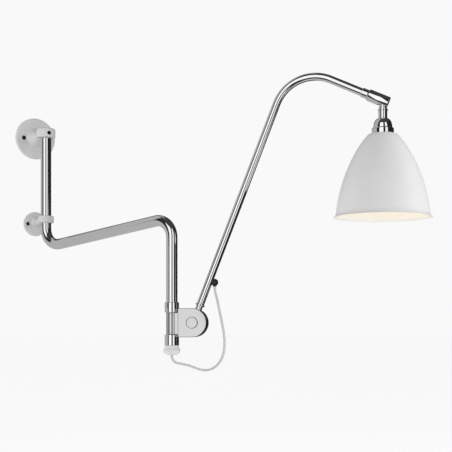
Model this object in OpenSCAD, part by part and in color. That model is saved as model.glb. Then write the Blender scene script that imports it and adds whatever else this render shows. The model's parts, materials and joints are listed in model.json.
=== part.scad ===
// Swing arm wall sconce: two wall brackets carry a Z-shaped tube that swings on a
// vertical axis, a knuckle that swivels and tilts, a long bent arm, and a bell shade
// on a ball joint. Z is up, the wall is the plane Y = 0 and the lamp stands towards -Y.
// The origin is the centre of the upper bracket's back face.

/* [Wall brackets] */
// Diameter of the upper wall plate
upper_plate_d = 76; // [70:1:90]
// Diameter of the lower wall plate
lower_plate_d = 45; // [42:1:60]
// Distance between the two plates' centres
plate_spacing = 160; // [150:1:200]
// Distance from the wall to the axis that the lamp swings on
wall_gap = 60; // [55:1:80]
// Distance between the upper plate's two screws
upper_screw_span = 46; // [46:1:50]
// Distance between the lower plate's two screws
lower_screw_span = 30; // [29:1:31]

/* [Lower arm] */
// Outer diameter of the lower arm's tube
tube_d = 19; // [18:0.5:19]
// Distance between the lower arm's two vertical stretches
lower_reach = 290; // [240:5:350]
// How far the slanted stretch rises on its way out
lower_rise = 38; // [20:1:50]
// Bend radius of the lower arm, on its centreline
lower_bend_r = 30; // [26:1:32]
// Height of the first bend's corner
first_corner_z = -207; // [-212:1:-206]
// Turn of the lower arm from straight out, at rest
lower_turn = 25.5; // [-60:0.5:60]

/* [Knuckle] */
// Height of the elbow pivot
pivot_z = -345; // [-350:1:-340]
// Distance from the column's axis to the elbow pivot
pivot_x = 36.5; // [36.5:0.5:40]
// Radius of the round end of the knuckle's cheeks
cheek_r = 24; // [23:0.5:24]
// Turn of the knuckle from the lower arm's direction, at rest
knuckle_turn = 25.3; // [-60:0.1:60]

/* [Upper arm] */
// Outer diameter of the upper arm's tube
arm_d = 12.6; // [12.6:0.1:13]
// Tilt of the arm from upright, at rest
arm_tilt = 21.2; // [0:0.1:60]
// Length from the elbow pivot to the bend
arm_len = 385; // [300:5:450]
// Bend radius of the upper arm, on its centreline
arm_bend_r = 66; // [50:1:90]
// Slope of the arm's tip below level, at rest
tip_droop = 24; // [10:1:40]
// Length from the bend to the ball joint's centre
tip_len = 91.5; // [80:0.5:120]

/* [Shade] */
// Diameter of the shade's rim
rim_d = 160; // [156:1:164]
// Height of the shade
shade_h = 134.4; // [132:0.2:140]
// Diameter of the flex
flex_d = 4.4; // [4.2:0.1:4.6]

/* [Hidden] */
$fn = 64;
fit = 0.05;                 // radial clearance of a shaft that turns in its hole
lap = 0.3;                  // a straight stretch of tube reaches this far into a bend,
lap_step = 0.01;            // and is this much thinner there

// Wall brackets
plate_t = 5.5;
lower_plate_t = 4.5;
neck_up = 1.6;              // the upper neck stands this far above its plate's centre
neck_r = 7.6;
flare_r = 18;
flare_len = 24;
flare_start = 30;           // the flare begins this far round its curve
clamp_r = 17;
clamp_h = 16.4;
clamp_z = neck_up - 8.6;
channel_r = 2.6;
channel_z = 5.2;
socket_top = 7.8;           // roof of the clamp's inside
recess_r = 11;
recess_t = 9;
bush_t = 2;
grub_r = 3.6;
grub_socket_r = 2;
grub_z = -0.2;
ring_r = 14.3;
ring_h = 12.6;
ring_up = 3.5;              // the lower ring stands this far above its plate's centre
ring_z = -plate_spacing + ring_up;
screw_r = 2.25;
screw_head_r = 4.3;
lower_screw_r = 2;
lower_screw_head_r = 3.6;

// Lower arm
tube_r = tube_d / 2;
tube_wall = 1.5;
tube_bore_r = tube_r - tube_wall;
slope = atan(lower_rise / lower_reach);
bend_turn = 90 + slope;
corner_len = lower_bend_r * tan(bend_turn / 2);
bend_1_z = first_corner_z + corner_len;
bend_2_z = first_corner_z + lower_rise - corner_len;
slant_len = lower_reach / cos(slope) - 2 * corner_len;
tube_top_z = 2.6;
tube_end_z = pivot_z + 19;

// Column under the lower arm
collar_r = 12;
collar_h = 17.2;
collar_top_z = pivot_z + 34.2;
sleeve_h = 35;
sleeve_z = pivot_z - 18.9;
washer_t = 0.7;
washer_gap = 0.1;
spindle_r = 6;
spindle_top_z = tube_end_z + 26;
lower_collar_top_z = sleeve_z - washer_t - washer_gap;
lower_collar_h = 18.2;
cap_top_z = lower_collar_top_z - lower_collar_h;
cap_h = 16.1;
cap_bottom_z = cap_top_z - cap_h;
spindle_end_z = cap_top_z - 9;
cap_neck_r = 12.1;
cap_belly_r = 14.2;
set_screw_r = 2;

// Knuckle and elbow
knuckle_w = 24;
slot_w = 12.6;
cheek_start_x = collar_r + 0.5;
slot_start_x = 16;
tongue_r = 20;
tongue_w = 11.2;
elbow_pin_r = 4;
button_r = 9.6;
button_recess = 0.8;
button_h = 2.6;
friction_washer_r = 15;
friction_washer_t = 0.6;
neck_len = 30;
ferrule_r = 7.8;
ferrule_h = 3.2;
spigot_len = 28;

// Upper arm
arm_r = arm_d / 2;
arm_bore_r = arm_r - 1.2;
arm_turn = 90 - arm_tilt + tip_droop;
tip_angle = arm_tilt + arm_turn;
outlet_z = 75.3;            // height of the cord's way in, along the arm
outlet_x = 9.4;
outlet_r = 6.1;
outlet_peg_r = 3;
outlet_nose_r = 3.1;
outlet_nose_len = 6.8;

// Ball joint, measured along the arm's tip from the ball's centre
ball_r = 8;
dimple_r = 1.6;
dimple_depth = 0.7;
cup_r = 9.5;
cup_mouth = 10;
cup_back = -25.8;
cup_floor = -20;
cup_bore_r = ball_r + 0.1;
cup_lip_r = 6.7;
cup_lip = 4.6;
stem_r = 6.2;
slot_r = stem_r + 0.2;
tip_tube_end = -27;
tip_ring_r = 7.5;
tip_ring_len = 10.6;
tip_pin_r = 5;
ball_x = pivot_x + arm_len * sin(arm_tilt) + arm_bend_r * (cos(arm_tilt) - cos(tip_angle))
    + tip_len * sin(tip_angle);
ball_z = pivot_z + arm_len * cos(arm_tilt) + arm_bend_r * (sin(tip_angle) - sin(arm_tilt))
    + tip_len * cos(tip_angle);

// Head, measured down from the ball's centre
stem_len = 13.2;
spin_ring_r = 8;
spin_ring_t = 3;
spin_nut_r = 6.4;
head_neck_top = stem_len + spin_ring_t + 0.2;
head_neck_r = 7.2;
dome_top = 28.9;
dome_end = 43.9;
dome_r = 15.4;
dome_t = 1.2;
gallery_top = dome_end;
gallery_end = 53.8;
gallery_r = 17.8;
gallery_hole_r = 10.6;
gallery_t = 1.4;
shade_top = gallery_end;
shade_t = 1.2;
shade_crown_r = 21.9;
shade_hole_r = 14.2;
shade_foot_r = rim_d / 2 - 5;       // the bell, just above the flared lip
lip_h = 10.5;
holder_r = 13.4;
holder_top = gallery_top + gallery_t;
holder_end = 88;
holder_bore_r = 7.3;
bulb_cap_r = 6.9;
bulb_cap_top = 64;
bulb_cap_end = 88;
bulb_r = 22.5;
bulb_centre = 117;
glass_t = 1;

// Cord, in the plane of the knuckle: distance from the column's axis, and height
cord_sides = 10;
cord_steps = 2;             // rings from each route point to the next
cord_route = [
    [0, -399], [0.4, -403.6], [3, -408.5], [8.5, -412], [16, -413.5], [24, -415],
    [33, -417.5], [42, -420.8], [51, -423.3], [60, -423.6], [69, -420.8], [77, -415],
    [83.5, -406], [87.5, -395], [89, -382], [88.4, -367], [85.6, -349], [81.2, -328],
    [77, -308], [73.4, -293.5], [72.5, -285]
];

// --- Places -------------------------------------------------------------------

// The lower arm's frame: X along the arm, origin on the swing axis at plate height
module at_lower_arm() {
    translate([0, -wall_gap, 0]) rotate([0, 0, lower_turn - 90]) children();
}

// The knuckle's frame: X towards the elbow pivot, origin on the column's axis
module at_column() {
    at_lower_arm() translate([lower_reach, 0, 0]) rotate([0, 0, knuckle_turn]) children();
}

// The upper arm's frame: Z along the arm, origin on the elbow pivot
module at_arm() {
    at_column() translate([pivot_x, 0, pivot_z]) rotate([0, arm_tilt, 0]) children();
}

// The ball joint's frame: Z along the arm's tip, origin at the ball's centre
module at_tip() {
    at_column() translate([ball_x, 0, ball_z]) rotate([0, tip_angle, 0]) children();
}

// The head's frame: hangs down from the ball's centre, with Z pointing down
module at_head() {
    at_column() translate([ball_x, 0, ball_z]) rotate([180, 0, 0]) children();
}

// --- Shared shapes ------------------------------------------------------------

// A ring about Z
module ring(r, bore, z0, z1) {
    translate([0, 0, z0]) difference() {
        cylinder(r = r, h = z1 - z0);
        translate([0, 0, -1]) cylinder(r = bore, h = z1 - z0 + 2);
    }
}

// A rod about Z
module rod(r, z0, z1) {
    translate([0, 0, z0]) cylinder(r = r, h = z1 - z0);
}

// A rod along the wall's normal, from one distance to another
module wall_rod(r, y0, y1) {
    translate([0, -y0, 0]) rotate([90, 0, 0]) cylinder(r = r, h = y1 - y0);
}

// A stretch of a ring-shaped bend in the XZ plane, counted from X towards Z
module bend(bend_r, r, start, turn) {
    rotate([90, 0, 0]) rotate([0, 0, start]) rotate_extrude(angle = turn, $fn = 96)
        translate([bend_r, 0]) circle(r = r);
}

// The Z-shaped run of the lower arm, at radius r
module lower_run(r, top, bottom) {
    rod(r, bend_1_z, top);
    translate([lower_bend_r, 0, bend_1_z]) bend(lower_bend_r, r, 180, bend_turn);
    translate([lower_bend_r, 0, bend_1_z]) rotate([0, 90 - slope, 0])
        translate([lower_bend_r, 0, -lap]) cylinder(r = r - lap_step, h = slant_len + 2 * lap);
    translate([lower_reach - lower_bend_r, 0, bend_2_z]) bend(lower_bend_r, r, 0, bend_turn);
    translate([lower_reach, 0, 0]) rod(r, bottom, bend_2_z);
}

// The run of the upper arm, at radius r, from one place along it to the ball joint's end
module upper_run(r, bottom, end) {
    rod(r - lap_step, bottom, arm_len + lap);
    translate([arm_bend_r, 0, arm_len]) bend(arm_bend_r, r, 180 - arm_turn, arm_turn);
    translate([arm_bend_r, 0, arm_len]) rotate([0, arm_turn, 0])
        translate([-arm_bend_r, 0, -lap]) cylinder(r = r - lap_step, h = tip_len + end + lap);
}

// A hole for a countersunk screw, through a plate of thickness t on the wall
module countersunk_hole(x, z, r, head_r, t) {
    translate([x, 0, z]) {
        wall_rod(r, -1, t + 1);
        translate([0, -t + head_r - r, 0]) rotate([90, 0, 0])
            cylinder(r1 = r, r2 = head_r + 0.1, h = head_r - r + 0.1);
    }
}

// --- Wall brackets, fixed ------------------------------------------------------

// Concave flare from the plate to the neck, as [radius, distance from the wall]. It leaves
// the plate at a clear edge.
function flare(r0, r1, y0, len) = [for (a = [flare_start : 10 : 90])
    [r1 + (r0 - r1) * (1 - sin(a)) / (1 - sin(flare_start)),
     y0 + len * (1 - cos(a) / cos(flare_start))]];

module turned_on_wall(z, outline) {
    translate([0, 0, z]) rotate([90, 0, 0]) rotate_extrude() polygon(outline);
}

module upper_bracket() {
    color("lightgray") difference() {
        union() {
            turned_on_wall(0, [[0, 0], [upper_plate_d / 2, 0], [upper_plate_d / 2, 3],
                [upper_plate_d / 2 - 0.8, 4.4], [upper_plate_d / 2 - 2.5, plate_t - 0.3],
                [upper_plate_d / 2 - 5, plate_t], [0, plate_t]]);
            turned_on_wall(neck_up, concat([[0, 0], [flare_r, plate_t - 1]],
                flare(flare_r, neck_r, plate_t - 0.1, flare_len), [[neck_r, wall_gap], [0, wall_gap]]));
            translate([0, -wall_gap, clamp_z]) rotate_extrude() polygon([
                [0, 0], [clamp_r - 1, 0], [clamp_r, 1], [clamp_r, clamp_h - 3],
                [clamp_r - 0.9, clamp_h - 1], [clamp_r - 3, clamp_h], [0, clamp_h]]);
        }
        // Recess for the terminals, and the flex's way to the tube
        translate([0, 0, neck_up]) wall_rod(recess_r, -1, recess_t);
        translate([0, 0, channel_z]) wall_rod(channel_r, 0, wall_gap);
        // Socket for the bush and the tube
        translate([0, -wall_gap, 0]) rod(tube_r + bush_t, clamp_z - 1, socket_top);
        translate([0, -wall_gap, grub_z]) wall_rod(grub_r, 0, clamp_r + 1);
        for (side = [-1, 1])
            countersunk_hole(side * upper_screw_span / 2, 0, screw_r, screw_head_r, plate_t);
    }
}

module lower_bracket() {
    color("lightgray") difference() {
        union() {
            turned_on_wall(-plate_spacing, [[0, 0], [lower_plate_d / 2, 0],
                [lower_plate_d / 2, 2.4], [lower_plate_d / 2 - 0.7, 3.6],
                [lower_plate_d / 2 - 2.2, lower_plate_t], [0, lower_plate_t]]);
            turned_on_wall(ring_z, concat([[0, 0], [9.5, lower_plate_t - 1]],
                flare(9.5, 5.2, lower_plate_t - 0.1, 10),
                [[6, wall_gap - ring_r + 2], [0, wall_gap - ring_r + 2]]));
            translate([0, -wall_gap, ring_z - ring_h / 2]) rotate_extrude() polygon([
                [0, 0], [ring_r - 1.2, 0], [ring_r, 1.2], [ring_r, ring_h - 2],
                [ring_r - 0.6, ring_h - 0.6], [ring_r - 2, ring_h], [0, ring_h]]);
        }
        translate([0, -wall_gap, 0])
            rod(tube_r + bush_t, ring_z - ring_h / 2 - 1, ring_z + ring_h / 2 + 1);
        for (side = [-1, 1])
            countersunk_hole(side * lower_screw_span / 2, -plate_spacing, lower_screw_r,
                lower_screw_head_r, lower_plate_t);
    }
}

module terminal_block() {
    block = [14, 6, 8];
    color("white") difference() {
        translate([-block[0] / 2, -recess_t, neck_up - block[2] / 2]) cube(block);
        for (x = [-3.5, 3.5]) {
            translate([x, -recess_t + 2.5, neck_up - block[2]])
                cylinder(r = 1.4, h = 2 * block[2], $fn = 24);
            translate([x, 0, neck_up]) rotate([90, 0, 0])
                cylinder(r = 1.2, h = recess_t - 2.5, $fn = 24);
        }
    }
}

module wall_flex() {
    elbow_r = 4.5;
    color("white") {
        translate([0, 0, channel_z]) wall_rod(flex_d / 2, recess_t, wall_gap - elbow_r);
        translate([0, -wall_gap + elbow_r, channel_z - elbow_r]) rotate([0, 0, 90])
            bend(elbow_r, flex_d / 2, 90, 90);
    }
}

module clamp_grub_screw() {
    color("black") difference() {
        translate([0, -wall_gap, grub_z]) wall_rod(grub_r, tube_r + bush_t + 0.1, clamp_r);
        translate([0, -wall_gap, grub_z]) rotate([90, 0, 0]) translate([0, 0, clamp_r - 2.5])
            cylinder(r = grub_socket_r, h = 4, $fn = 6);
    }
}

module clamp_bush() {
    color("white") translate([0, -wall_gap, 0])
        ring(tube_r + bush_t, tube_r + fit, clamp_z + 0.4, tube_top_z - 0.4);
}

module ring_bush() {
    color("white") translate([0, -wall_gap, ring_z])
        ring(tube_r + bush_t, tube_r + fit, -ring_h / 2 + 0.3, ring_h / 2 - 0.3);
}

// --- Lower arm: swings on the brackets ------------------------------------------

module lower_arm_tube() {
    color("silver") at_lower_arm() difference() {
        lower_run(tube_r, tube_top_z, tube_end_z);
        lower_run(tube_bore_r, tube_top_z + 1, tube_end_z - 1);
    }
}

module column_flex() {
    color("white") at_lower_arm() lower_run(flex_d / 2, channel_z - 4.7, cap_bottom_z);
}

module swivel_spindle() {
    color("gray") at_column() difference() {
        union() {
            rod(tube_bore_r, tube_end_z, spindle_top_z);
            rod(spindle_r, spindle_end_z, tube_end_z);
        }
        rod(channel_r, spindle_end_z - 1, spindle_top_z + 1);
    }
}

module upper_collar() {
    shoulder_z = collar_top_z - collar_h;
    color("silver") at_column() difference() {
        rod(collar_r, shoulder_z, collar_top_z);
        rod(tube_r, tube_end_z, collar_top_z + 1);
        rod(spindle_r, shoulder_z - 1, tube_end_z + 1);
        translate([0, 0, collar_top_z - 8]) rotate([-90, 0, 0])
            cylinder(r = set_screw_r, h = collar_r + 1);
    }
}

module thrust_washers() {
    color("white") at_column() {
        ring(tube_r - 0.3, spindle_r + fit, sleeve_z + sleeve_h + washer_gap, collar_top_z - collar_h);
        ring(tube_r - 0.3, spindle_r + fit, lower_collar_top_z, sleeve_z - washer_gap);
    }
}

module lower_collar() {
    color("silver") at_column() difference() {
        rod(collar_r, cap_top_z, lower_collar_top_z);
        rod(spindle_r, cap_top_z - 1, lower_collar_top_z + 1);
        translate([0, 0, cap_top_z + 8]) rotate([-90, 0, 0])
            cylinder(r = set_screw_r, h = collar_r + 1);
    }
}

module collar_set_screws() {
    color("black") at_column() for (z = [collar_top_z - 8, cap_top_z + 8])
        translate([0, 0, z]) rotate([-90, 0, 0]) difference() {
            translate([0, 0, tube_r]) cylinder(r = set_screw_r, h = collar_r - tube_r - 0.2);
            translate([0, 0, collar_r - 1.6]) cylinder(r = 1.1, h = 3, $fn = 6);
        }
}

module end_cap() {
    color("white") at_column() difference() {
        translate([0, 0, cap_top_z]) rotate_extrude() polygon(concat(
            [[0, 0], [cap_neck_r, 0], [cap_neck_r - 0.1, -4.2], [cap_neck_r + 0.8, -5.4]],
            [for (a = [20 : -10 : -90])
                [2.5 + (cap_belly_r - 2.5) * cos(a), -8.8 + (cap_h - 8.8) * sin(a)]],
            [[0, -cap_h]]));
        rod(spindle_r, spindle_end_z, cap_top_z + 1);
        rod(flex_d / 2 + 0.1, cap_bottom_z - 1, spindle_end_z + 1);
    }
}

// --- Knuckle: swivels on the column ---------------------------------------------

// Outline of the knuckle's cheeks, seen along the elbow pin
module cheek_outline() {
    translate([pivot_x, 0]) circle(r = cheek_r, $fn = 96);
    translate([cheek_start_x, -cheek_r]) square([pivot_x - cheek_start_x, 2 * cheek_r]);
}

module knuckle_housing() {
    color("silver") at_column() difference() {
        union() {
            rod(tube_r, sleeve_z, sleeve_z + sleeve_h);
            translate([0, -tube_r + 1, sleeve_z]) cube([slot_start_x, 2 * tube_r - 2, sleeve_h]);
            translate([0, knuckle_w / 2, pivot_z]) rotate([90, 0, 0])
                linear_extrude(knuckle_w) cheek_outline();
        }
        rod(spindle_r + fit, sleeve_z - 1, sleeve_z + sleeve_h + 1);
        translate([slot_start_x, -slot_w / 2, pivot_z - cheek_r - 1])
            cube([2 * cheek_r + pivot_x, slot_w, 2 * cheek_r + 2]);
        translate([pivot_x, 0, pivot_z]) rotate([90, 0, 0]) {
            cylinder(r = elbow_pin_r, h = knuckle_w + 2, center = true);
            for (side = [0, 1]) mirror([0, 0, side])
                translate([0, 0, knuckle_w / 2 - button_recess])
                    cylinder(r = button_r + 0.7, h = 2);
        }
    }
}

module elbow_pin() {
    color("gray") at_column() translate([pivot_x, 0, pivot_z]) rotate([90, 0, 0])
        cylinder(r = elbow_pin_r, h = knuckle_w - 2 * button_recess, center = true);
}

module pin_buttons() {
    color("silver") at_column() translate([pivot_x, 0, pivot_z]) rotate([90, 0, 0])
        for (side = [0, 1]) mirror([0, 0, side])
            translate([0, 0, knuckle_w / 2 - button_recess]) rotate_extrude() polygon([
                [0, 0], [button_r, 0], [button_r, button_h - 0.8], [button_r - 0.8, button_h - 0.2],
                [button_r - 2, button_h], [0, button_h]]);
}

module friction_washers() {
    color("dimgray") at_column() translate([pivot_x, 0, pivot_z]) rotate([90, 0, 0])
        for (side = [0, 1]) mirror([0, 0, side])
            ring(friction_washer_r, elbow_pin_r + fit, slot_w / 2 - friction_washer_t, slot_w / 2);
}

// --- Upper arm: tilts on the elbow pin -------------------------------------------

module elbow_tongue() {
    color("silver") at_arm() difference() {
        union() {
            rotate([90, 0, 0]) cylinder(r = tongue_r, h = tongue_w, center = true, $fn = 96);
            rod(tongue_w / 2, 0, neck_len);
            rod(arm_bore_r - fit, neck_len - 1, neck_len + spigot_len);
        }
        rotate([90, 0, 0]) cylinder(r = elbow_pin_r + fit, h = tongue_w + 2, center = true);
    }
}

module arm_ferrule() {
    color("silver") at_arm() difference() {
        translate([0, 0, neck_len]) rotate_extrude() polygon([[0, 0], [ferrule_r - 0.5, 0],
            [ferrule_r, 0.5], [ferrule_r, ferrule_h - 0.8], [ferrule_r - 0.8, ferrule_h],
            [0, ferrule_h]]);
        rod(arm_bore_r, neck_len - 1, neck_len + 1);
        rod(arm_r, neck_len + 1, neck_len + ferrule_h + 1);
    }
}

module upper_arm_tube() {
    color("silver") at_arm() difference() {
        upper_run(arm_r, neck_len + 1, tip_tube_end);
        upper_run(arm_bore_r, neck_len, tip_tube_end + 1);
        translate([0, 0, outlet_z]) rotate([0, 90, 0]) cylinder(r = outlet_peg_r, h = arm_r + 2);
    }
}

module arm_flex() {
    color("white") at_arm() upper_run(flex_d / 2, outlet_z - 4, -16);
}

module cord_bush() {
    color("black") at_arm() {
        // Peg into the arm
        translate([outlet_peg_r, 0, outlet_z]) rotate([0, 90, 0])
            cylinder(r = outlet_peg_r, h = outlet_x - outlet_peg_r);
        difference() {
            union() {
                translate([outlet_x, 0, outlet_z]) sphere(r = outlet_r);
                // Nose that the cord leaves by, upright when the lamp is at rest
                translate([outlet_x, 0, outlet_z]) rotate([0, -arm_tilt, 0])
                    rod(outlet_nose_r, -outlet_nose_len, 0);
            }
            rod(arm_r, outlet_z - 2 * outlet_r, outlet_z + 2 * outlet_r);
        }
    }
}

// Points of the cord's centreline: a Catmull-Rom curve through the route
function route_at(i) = cord_route[max(0, min(len(cord_route) - 1, i))];
function between(i, t) = 0.5 * (
    2 * route_at(i)
    + (route_at(i + 1) - route_at(i - 1)) * t
    + (2 * route_at(i - 1) - 5 * route_at(i) + 4 * route_at(i + 1) - route_at(i + 2)) * t * t
    + (3 * route_at(i) - route_at(i - 1) - 3 * route_at(i + 1) + route_at(i + 2)) * t * t * t);
cord_line = concat(
    [for (i = [0 : len(cord_route) - 2], k = [0 : cord_steps - 1]) between(i, k / cord_steps)],
    [route_at(len(cord_route) - 1)]);
// The thick end rings lie square to the cord's first and last directions
function cord_heading(i) =
    i == 0 ? [0, -1]
    : i == len(cord_line) - 1 ? [0, 1]
    : let (d = cord_line[i + 1] - cord_line[i - 1]) d / norm(d);

module cord_loop() {
    n = len(cord_line);
    points = [for (i = [0 : n - 1], k = [0 : cord_sides - 1])
        let (a = 360 * k / cord_sides, h = cord_heading(i))
        [cord_line[i][0] - h[1] * flex_d / 2 * cos(a), flex_d / 2 * sin(a),
         cord_line[i][1] + h[0] * flex_d / 2 * cos(a)]];
    sides = [for (i = [0 : n - 2], k = [0 : cord_sides - 1])
        let (a = i * cord_sides, j = (k + 1) % cord_sides)
        [a + k, a + cord_sides + k, a + cord_sides + j, a + j]];
    color("white") at_column() polyhedron(points, concat(
        [[for (k = [0 : cord_sides - 1]) k]], sides,
        [[for (k = [cord_sides - 1 : -1 : 0]) (n - 1) * cord_sides + k]]));
}

// --- Ball joint at the arm's tip --------------------------------------------------

module tip_ring() {
    color("silver") at_tip() ring(tip_ring_r, arm_r, cup_back - 0.3 - tip_ring_len, cup_back - 0.3);
}

module tip_spindle() {
    color("gray") at_tip() difference() {
        union() {
            rod(arm_bore_r - fit, tip_tube_end - 25, tip_tube_end);
            rod(tip_pin_r - fit, tip_tube_end, cup_floor + 1);
            rod(7.2, cup_floor + 0.3, cup_floor + 2.2);
        }
        rod(channel_r, tip_tube_end - 26, cup_floor + 4);
    }
}

module swivel_cup() {
    color("silver") at_tip() difference() {
        translate([0, 0, cup_back]) rotate_extrude() polygon([
            [0, 0], [cup_r - 1.4, 0], [cup_r, 1.6], [cup_r, cup_mouth - cup_back - 0.8],
            [cup_r - 0.8, cup_mouth - cup_back], [0, cup_mouth - cup_back]]);
        rod(tip_pin_r, cup_back - 1, cup_floor + 1);
        rod(cup_bore_r, cup_floor, cup_lip);
        rod(cup_lip_r, cup_lip - 1, cup_mouth + 1);
        // Slot that the stem swings in
        rotate([0, 90, 0]) cylinder(r = slot_r, h = cup_r + 2);
        translate([0, -slot_r, 0]) cube([cup_r + 2, 2 * slot_r, cup_mouth + 2]);
    }
}

module ball_seat() {
    color("white") at_tip() difference() {
        ring(cup_bore_r - fit, 3.6, -12, -slot_r);
        sphere(r = ball_r + fit);
    }
}

module seat_springs() {
    color("gray") at_tip() for (z = [-16.8, -13.4])
        translate([0, 0, z]) rotate_extrude() translate([6, 0]) circle(r = 0.9);
}

module ball_stem() {
    over = 5;               // the flex's slot is open this far past both ends of the tilt
    half_w = channel_r - 0.1;
    color("silver") at_head() difference() {
        union() {
            sphere(r = ball_r);
            rod(stem_r, 0, stem_len);
            rod(tip_pin_r - fit, stem_len - 1, dome_top + 4.2);
        }
        rod(channel_r, -channel_r, dome_top + 5);
        rotate([90, 0, 0]) translate([0, 0, -half_w]) rotate([0, 0, 180 - over])
            rotate_extrude(angle = 90 + 2 * over) square([ball_r + 1, 2 * half_w]);
        // Turning centres on the tilt axis
        for (side = [-1, 1]) translate([0, side * ball_r, 0]) rotate([90, 0, 0])
            cylinder(r = dimple_r, h = 2 * dimple_depth, center = true);
    }
}

module spin_ring() {
    color("silver") at_head() ring(spin_ring_r, tip_pin_r - fit, stem_len, stem_len + spin_ring_t);
}

module spin_nut() {
    color("gray") at_head() difference() {
        rod(spin_nut_r, dome_top + dome_t + 0.1, dome_top + dome_t + 2.7);
        rod(tip_pin_r - fit, dome_top, dome_top + 5);
    }
}

// --- Head: spins on the stem -------------------------------------------------------

module head_neck() {
    color("silver") at_head() ring(head_neck_r, tip_pin_r, head_neck_top, dome_top);
}

// Quarter of an ellipse from the neck out to the dome's foot, t further in
function dome_line(t) = [for (a = [0 : 10 : 90])
    [head_neck_r + (dome_r - head_neck_r) * sin(a) - t * sin(a),
     dome_end - (dome_end - dome_top) * cos(a) + t * cos(a)]];

module dome_cover() {
    inner = dome_line(dome_t);
    color("silver") at_head() rotate_extrude() polygon(concat(
        [[tip_pin_r + 0.2, dome_top]], dome_line(0),
        [for (i = [len(inner) - 1 : -1 : 0]) inner[i]], [[tip_pin_r + 0.2, dome_top + dome_t]]));
}

module shade_gallery() {
    color("silver") at_head() rotate_extrude() polygon([
        [gallery_hole_r, gallery_top], [gallery_r - 2.4, gallery_top],
        [gallery_r - 0.9, gallery_top + 0.7], [gallery_r, gallery_top + 2.6],
        [gallery_r, gallery_end], [gallery_r - gallery_t, gallery_end],
        [gallery_r - gallery_t, gallery_top + 2.6], [gallery_r - 2.4, gallery_top + gallery_t],
        [gallery_hole_r, gallery_top + gallery_t]]);
}

// The bell from its crown down to the foot of its curve: a Bezier curve of four poles
bell_len = shade_h - lip_h;
bell_poles = [[shade_crown_r + 1.7, 1], [shade_crown_r + 26.7, 27.3],
    [shade_foot_r - 5.7, bell_len - 47], [shade_foot_r, bell_len]];
function bell(t) = pow(1 - t, 3) * bell_poles[0] + 3 * t * pow(1 - t, 2) * bell_poles[1]
    + 3 * t * t * (1 - t) * bell_poles[2] + pow(t, 3) * bell_poles[3];
// Flared lip at the foot: a quarter of an ellipse turning outwards
function lip(a) = [rim_d / 2 - (rim_d / 2 - shade_foot_r) * cos(a), bell_len + lip_h * sin(a)];
shade_line = concat([[shade_crown_r - 1, 0]], [for (i = [0 : 14]) bell(i / 14)],
    [for (a = [20 : 17.5 : 90]) lip(a)]);

module shade() {
    inner = [for (p = shade_line) [p[0] - shade_t, p[1] + (p[1] < 4 ? shade_t : 0)]];
    color("white") at_head() translate([0, 0, shade_top]) rotate_extrude($fn = 96) polygon(concat(
        [[shade_hole_r, 0]], shade_line,
        [for (i = [len(inner) - 1 : -1 : 0]) inner[i]], [[shade_hole_r, shade_t]]));
}

module shade_ring() {
    color("white") at_head() ring(18, holder_r + fit, shade_top + shade_t, shade_top + shade_t + 5);
}

module lampholder() {
    color("white") at_head() difference() {
        rod(holder_r, holder_top, holder_end);
        rod(holder_bore_r, bulb_cap_top - 4, holder_end + 1);
        rod(channel_r, holder_top - 1, bulb_cap_top);
    }
}

module holder_contacts() {
    color("goldenrod") at_head() {
        rod(2.2, bulb_cap_top - 4, bulb_cap_top - 0.4);
        difference() {
            ring(holder_bore_r, bulb_cap_r + 0.1, bulb_cap_top, holder_end - 6);
            translate([-10, -10, bulb_cap_top + 2]) cube([20, 20, 14]);
        }
    }
}

module bulb_cap() {
    color("gainsboro") at_head() rotate_extrude() polygon(concat(
        [[0, bulb_cap_top], [2.2, bulb_cap_top], [bulb_cap_r - 1, bulb_cap_top + 3]],
        [for (i = [0 : 5]) each [[bulb_cap_r, bulb_cap_top + 4 + 2.8 * i],
            [bulb_cap_r - 0.7, bulb_cap_top + 5.4 + 2.8 * i]]],
        [[bulb_cap_r, bulb_cap_end - 2], [bulb_cap_r, bulb_cap_end], [0, bulb_cap_end]]));
}

module bulb_glass() {
    start = 22;
    angles = [for (k = [0 : 9]) start + k * (180 - start) / 10];
    inner_r = bulb_r - glass_t;
    color("ivory") at_head() rotate_extrude() polygon(concat(
        [[5.9, bulb_cap_end], [6.9, bulb_cap_end]],
        [for (a = angles) [bulb_r * sin(a), bulb_centre - bulb_r * cos(a)]],
        [[0, bulb_centre + bulb_r], [0, bulb_centre + inner_r]],
        [for (k = [9 : -1 : 0]) [inner_r * sin(angles[k]), bulb_centre - inner_r * cos(angles[k])]]));
}

module bulb_filament() {
    color("gold") at_head() for (a = [0 : 90 : 270]) rotate([0, 0, a])
        translate([4, 0, bulb_cap_end]) cylinder(r = 0.9, h = 34, $fn = 16);
}

upper_bracket();
lower_bracket();
terminal_block();
wall_flex();
clamp_grub_screw();
clamp_bush();
ring_bush();
lower_arm_tube();
column_flex();
swivel_spindle();
upper_collar();
thrust_washers();
lower_collar();
collar_set_screws();
end_cap();
knuckle_housing();
elbow_pin();
pin_buttons();
friction_washers();
cord_loop();
elbow_tongue();
arm_ferrule();
upper_arm_tube();
arm_flex();
cord_bush();
tip_ring();
tip_spindle();
swivel_cup();
ball_seat();
seat_springs();
ball_stem();
spin_ring();
spin_nut();
head_neck();
dome_cover();
shade_gallery();
shade();
shade_ring();
lampholder();
holder_contacts();
bulb_cap();
bulb_glass();
bulb_filament();
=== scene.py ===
import json
import math

import bmesh
import bpy
from mathutils import Matrix, Vector


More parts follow.
